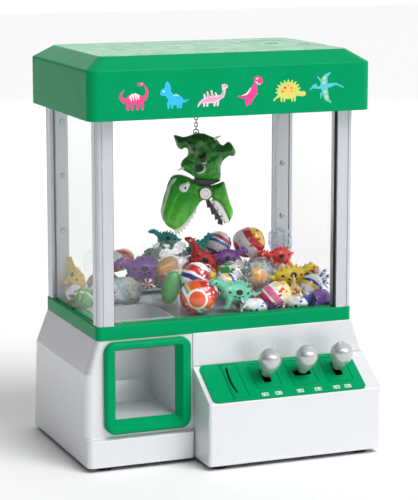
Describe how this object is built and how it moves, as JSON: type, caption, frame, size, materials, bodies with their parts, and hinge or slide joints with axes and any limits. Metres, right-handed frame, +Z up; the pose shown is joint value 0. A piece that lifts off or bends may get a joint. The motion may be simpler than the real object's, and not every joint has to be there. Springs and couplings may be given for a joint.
{
  "type": "claw crane machine",
  "caption": "Desktop toy claw crane with a windowed cabin, a chain-hung dinosaur-head claw, joystick console, prize chute and loose prizes.",
  "frame": {"origin": "centre of the overall box, on the surface the feet stand on", "axes": "+X to the player's right, +Y away from the player, +Z up"},
  "size_m": [0.2714, 0.202, 0.368],
  "materials": {
    "housing_silver": "pearl silver moulded plastic, satin",
    "trim_silver": "silver moulded plastic",
    "chute_grey": "silver-grey moulded plastic",
    "green_plastic": "green moulded plastic, glossy",
    "clear_plastic": "clear flat plastic sheet",
    "black_rubber": "moulded rubber",
    "black_plastic": "moulded black plastic",
    "steel": "plated steel",
    "dark_steel": "blackened steel",
    "motor_steel": "zinc plated can",
    "gear_plastic": "natural acetal",
    "frame_plastic": "dark grey moulded plastic",
    "board_green": "printed circuit board",
    "cell_wrap": "wrapped dry cell",
    "claw_green": "translucent green, high gloss",
    "tooth_white": "white gloss",
    "knob_silver": "pearl silver, glossy",
    "toy_rubber": "soft painted rubber, several colours",
    "candy_wrap": "printed and clear film wraps"
  },
  "bodies": {
    "cabinet": {"base_housing": "housing_silver", "console_housing": "housing_silver", "base_plate": "frame_plastic", "base_screws": "steel", "feet": "black_rubber", "battery_cover": "frame_plastic", "batteries": "cell_wrap", "circuit_board": "board_green", "speaker": "black_plastic", "control_plate": "green_plastic", "joystick_housings": "black_plastic", "coin_chute": "black_plastic", "base_frame": "green_plastic", "cabin_floor": "trim_silver", "prize_chute": "chute_grey", "prize_door_frame": "green_plastic", "chute_guard": "clear_plastic", "retainer_screws": "steel", "panel_retainers": "trim_silver", "post_front_left": "trim_silver", "post_front_right": "trim_silver", "post_rear_left": "trim_silver", "post_rear_right": "trim_silver", "window_front": "clear_plastic", "window_rear": "clear_plastic", "window_left": "clear_plastic", "window_right": "clear_plastic", "roof_shell": "green_plastic", "hatch_pin": "steel", "roof_tray": "green_plastic", "bridge_rails": "gear_plastic", "prize_dinosaurs": "toy_rubber", "prize_candies": "candy_wrap"},
    "bridge": {"bridge_frame": "frame_plastic", "bridge_motor": "motor_steel"},
    "drive_shaft": {"drive_shaft": "gear_plastic"},
    "trolley": {"trolley_chassis": "frame_plastic", "trolley_motor": "motor_steel", "hoist_motor": "motor_steel"},
    "trolley_pinion": {"trolley_pinion": "gear_plastic"},
    "winch_drum": {"winch_drum": "gear_plastic"},
    "claw": {"claw_body": "claw_green", "claw_yoke": "black_plastic", "pivot_pin": "steel", "jaw_actuator": "motor_steel", "hoist_chain": "dark_steel"},
    "upper_jaw": {"upper_jaw": "claw_green", "upper_teeth": "tooth_white"},
    "lower_jaw": {"lower_jaw": "claw_green", "jaw_grip": "black_plastic", "lower_teeth": "tooth_white"},
    "stick_left": {"lever_left": "black_plastic", "knob_left": "knob_silver"},
    "stick_middle": {"lever_middle": "black_plastic", "knob_middle": "knob_silver"},
    "stick_right": {"lever_right": "black_plastic", "knob_right": "knob_silver"},
    "hatch": {"roof_hatch": "green_plastic"},
    "power_slider": {"power_switch": "black_plastic"},
    "coin_feeler": {"coin_lever": "black_plastic"}
  },
  "joints": [
    {"name": "bridge_slide", "type": "slide", "parent": "cabinet", "child": "bridge", "axis": [0, 1, 0], "range_m": [-0.04, 0.02]},
    {"name": "drive_shaft_spin", "type": "hinge", "parent": "bridge", "child": "drive_shaft", "pos_m": [0, 0.033, 0.331], "axis": [1, 0, 0], "range_deg": [-160, 310]},
    {"name": "trolley_slide", "type": "slide", "parent": "bridge", "child": "trolley", "axis": [1, 0, 0], "range_m": [-0.073, 0.075]},
    {"name": "trolley_pinion_spin", "type": "hinge", "parent": "trolley", "child": "trolley_pinion", "pos_m": [-0.013, 0, 0.345], "axis": [0, 1, 0], "range_deg": [-565, 580]},
    {"name": "hoist_slide", "type": "slide", "parent": "trolley", "child": "claw", "axis": [0, 0, -1], "range_m": [-0.012, 0.026]},
    {"name": "winch_drum_spin", "type": "hinge", "parent": "trolley", "child": "winch_drum", "pos_m": [0.0073, 0.012, 0.341], "axis": [0, 1, 0], "range_deg": [-170, 80]},
    {"name": "upper_jaw_hinge", "type": "hinge", "parent": "claw", "child": "upper_jaw", "pos_m": [0.00608, 0.00877, 0.2342], "axis": [-0.3707, -0.9287, 0], "range_deg": [0, 24]},
    {"name": "lower_jaw_hinge", "type": "hinge", "parent": "claw", "child": "lower_jaw", "pos_m": [0.00608, 0.00877, 0.2342], "axis": [-0.3707, -0.9287, 0], "range_deg": [-24, 0]},
    {"name": "stick_left_tilt", "type": "hinge", "parent": "cabinet", "child": "stick_left", "pos_m": [0.0296, -0.06986, 0.06394], "axis": [1, 0, 0], "range_deg": [-18, 18], "stiffness_Nm_per_rad": 0.15},
    {"name": "stick_middle_tilt", "type": "hinge", "parent": "cabinet", "child": "stick_middle", "pos_m": [0.0658, -0.06986, 0.06394], "axis": [0, 0.845, 0.5348], "range_deg": [-18, 18], "stiffness_Nm_per_rad": 0.15},
    {"name": "stick_right_tilt", "type": "hinge", "parent": "cabinet", "child": "stick_right", "pos_m": [0.1006, -0.06986, 0.06394], "axis": [1, 0, 0], "range_deg": [-18, 18], "stiffness_Nm_per_rad": 0.15},
    {"name": "roof_hatch_hinge", "type": "hinge", "parent": "cabinet", "child": "hatch", "pos_m": [0.087, 0.05, 0.3661], "axis": [-1, 0, 0], "range_deg": [0, 90]},
    {"name": "power_switch_slide", "type": "slide", "parent": "cabinet", "child": "power_slider", "axis": [1, 0, 0], "range_m": [0, 0.004]},
    {"name": "coin_lever_tilt", "type": "hinge", "parent": "cabinet", "child": "coin_feeler", "pos_m": [-0.005, -0.0707, 0.06341], "axis": [1, 0, 0], "range_deg": [0, 20], "stiffness_Nm_per_rad": 0.01}
  ],
  "couplings": [
    {"joint": "drive_shaft_spin", "follows": "bridge_slide", "rad_per_m": -133.33},
    {"joint": "trolley_pinion_spin", "follows": "trolley_slide", "rad_per_m": 133.33},
    {"joint": "winch_drum_spin", "follows": "hoist_slide", "rad_per_m": -107.53},
    {"joint": "lower_jaw_hinge", "follows": "upper_jaw_hinge", "ratio": -1}
  ]
}
